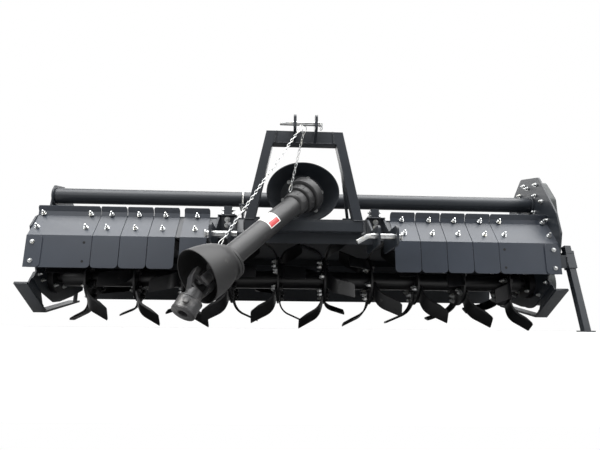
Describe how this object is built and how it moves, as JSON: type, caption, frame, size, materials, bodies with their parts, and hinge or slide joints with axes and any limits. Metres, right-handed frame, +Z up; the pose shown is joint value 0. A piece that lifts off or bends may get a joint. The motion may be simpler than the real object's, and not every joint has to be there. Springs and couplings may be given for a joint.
{
  "type": "rotary tiller",
  "caption": "Three-point-hitch rotary tiller with side gear drive: tined rotor under a shielded hood, hinged rear flap, skids, parking stand and guarded drive shaft.",
  "frame": {"origin": "middle of the machine's footprint, on the floor it stands on", "axes": "+X to the right seen from the tractor, along the rotor; +Y to the rear; +Z up"},
  "size_m": [2.595, 1.3318, 0.889],
  "materials": {
    "frame_paint": "satin near-black paint",
    "shield_paint": "satin dark grey paint",
    "rotor_paint": "satin black paint",
    "zinc": "bright zinc plating",
    "guard_plastic": "dark grey moulded plastic",
    "cast_steel": "bare cast steel"
  },
  "bodies": {
    "frame": {"end_shield_left": "shield_paint", "narrow_shields_left": "shield_paint", "corner_bracket_left": "shield_paint", "end_shield_right": "shield_paint", "narrow_shields_right": "shield_paint", "corner_bracket_right": "shield_paint", "hood_top": "frame_paint", "hood_rear": "frame_paint", "shield_carrier": "frame_paint", "side_plate_left": "frame_paint", "side_plate_right": "frame_paint", "gear_case": "frame_paint", "gear_case_cover": "frame_paint", "cross_tube_left": "frame_paint", "cross_tube_right": "frame_paint", "gearbox": "frame_paint", "gearbox_nose": "frame_paint", "bowl_ring": "frame_paint", "input_shaft": "cast_steel", "bowl_guard": "frame_paint", "front_beam": "frame_paint", "front_deck": "frame_paint", "front_band": "frame_paint", "mast_leg_left": "frame_paint", "mast_brace_left": "frame_paint", "lower_lugs_left": "frame_paint", "lower_pin_left": "zinc", "mast_leg_right": "frame_paint", "mast_brace_right": "frame_paint", "lower_lugs_right": "frame_paint", "lower_pin_right": "zinc", "mast_crossbar": "frame_paint", "top_link_lugs": "frame_paint", "top_link_pin": "zinc", "skid_right": "frame_paint", "skid_left": "frame_paint", "stand_sleeve": "frame_paint", "stand_bracket": "frame_paint", "rotor_bearing_left": "rotor_paint", "rotor_bearing_right": "rotor_paint", "flap_hinge_rod": "zinc", "hood_knuckles": "frame_paint", "inner_guard": "guard_plastic", "guard_tube": "guard_plastic", "outer_cone": "guard_plastic", "chain_long": "zinc", "chain_short": "zinc"},
    "rotor": {"rotor_tube": "rotor_paint", "rotor_flanges": "rotor_paint", "tines_left": "rotor_paint", "tines_right": "rotor_paint"},
    "rear_flap": {"rear_flap": "frame_paint"},
    "stand_leg": {"stand_leg": "frame_paint"},
    "driveline_shaft": {"driveline_shaft": "cast_steel"},
    "driveline_cross": {"driveline_cross": "cast_steel"},
    "outer_yoke": {"outer_yoke": "cast_steel"}
  },
  "joints": [
    {"name": "rotor_spin", "type": "hinge", "parent": "frame", "child": "rotor", "pos_m": [-0.0245, 0.23199, 0.245], "axis": [1, 0, 0], "continuous": true},
    {"name": "flap_swing", "type": "hinge", "parent": "frame", "child": "rear_flap", "pos_m": [-0.0245, 0.59299, 0.4], "axis": [1, 0, 0], "range_deg": [0, 50]},
    {"name": "stand_slide", "type": "slide", "parent": "frame", "child": "stand_leg", "axis": [0, 0.1784, 0.984], "range_m": [0, 0.15]},
    {"name": "driveline_spin", "type": "hinge", "parent": "frame", "child": "driveline_shaft", "pos_m": [-0.0025, -0.20801, 0.57], "axis": [-0.555, -0.5489, -0.6251], "continuous": true},
    {"name": "cross_tilt", "type": "hinge", "parent": "driveline_shaft", "child": "driveline_cross", "pos_m": [-0.366, -0.56752, 0.16056], "axis": [0.5895, -0.7897, 0.1701], "range_deg": [-38, 6]},
    {"name": "yoke_tilt", "type": "hinge", "parent": "driveline_cross", "child": "outer_yoke", "pos_m": [-0.366, -0.56752, 0.16056], "axis": [-0.7285, -0.4287, 0.5344], "range_deg": [-15, 15]}
  ],
  "couplings": [
    {"joint": "driveline_spin", "follows": "rotor_spin", "ratio": 2.5}
  ]
}
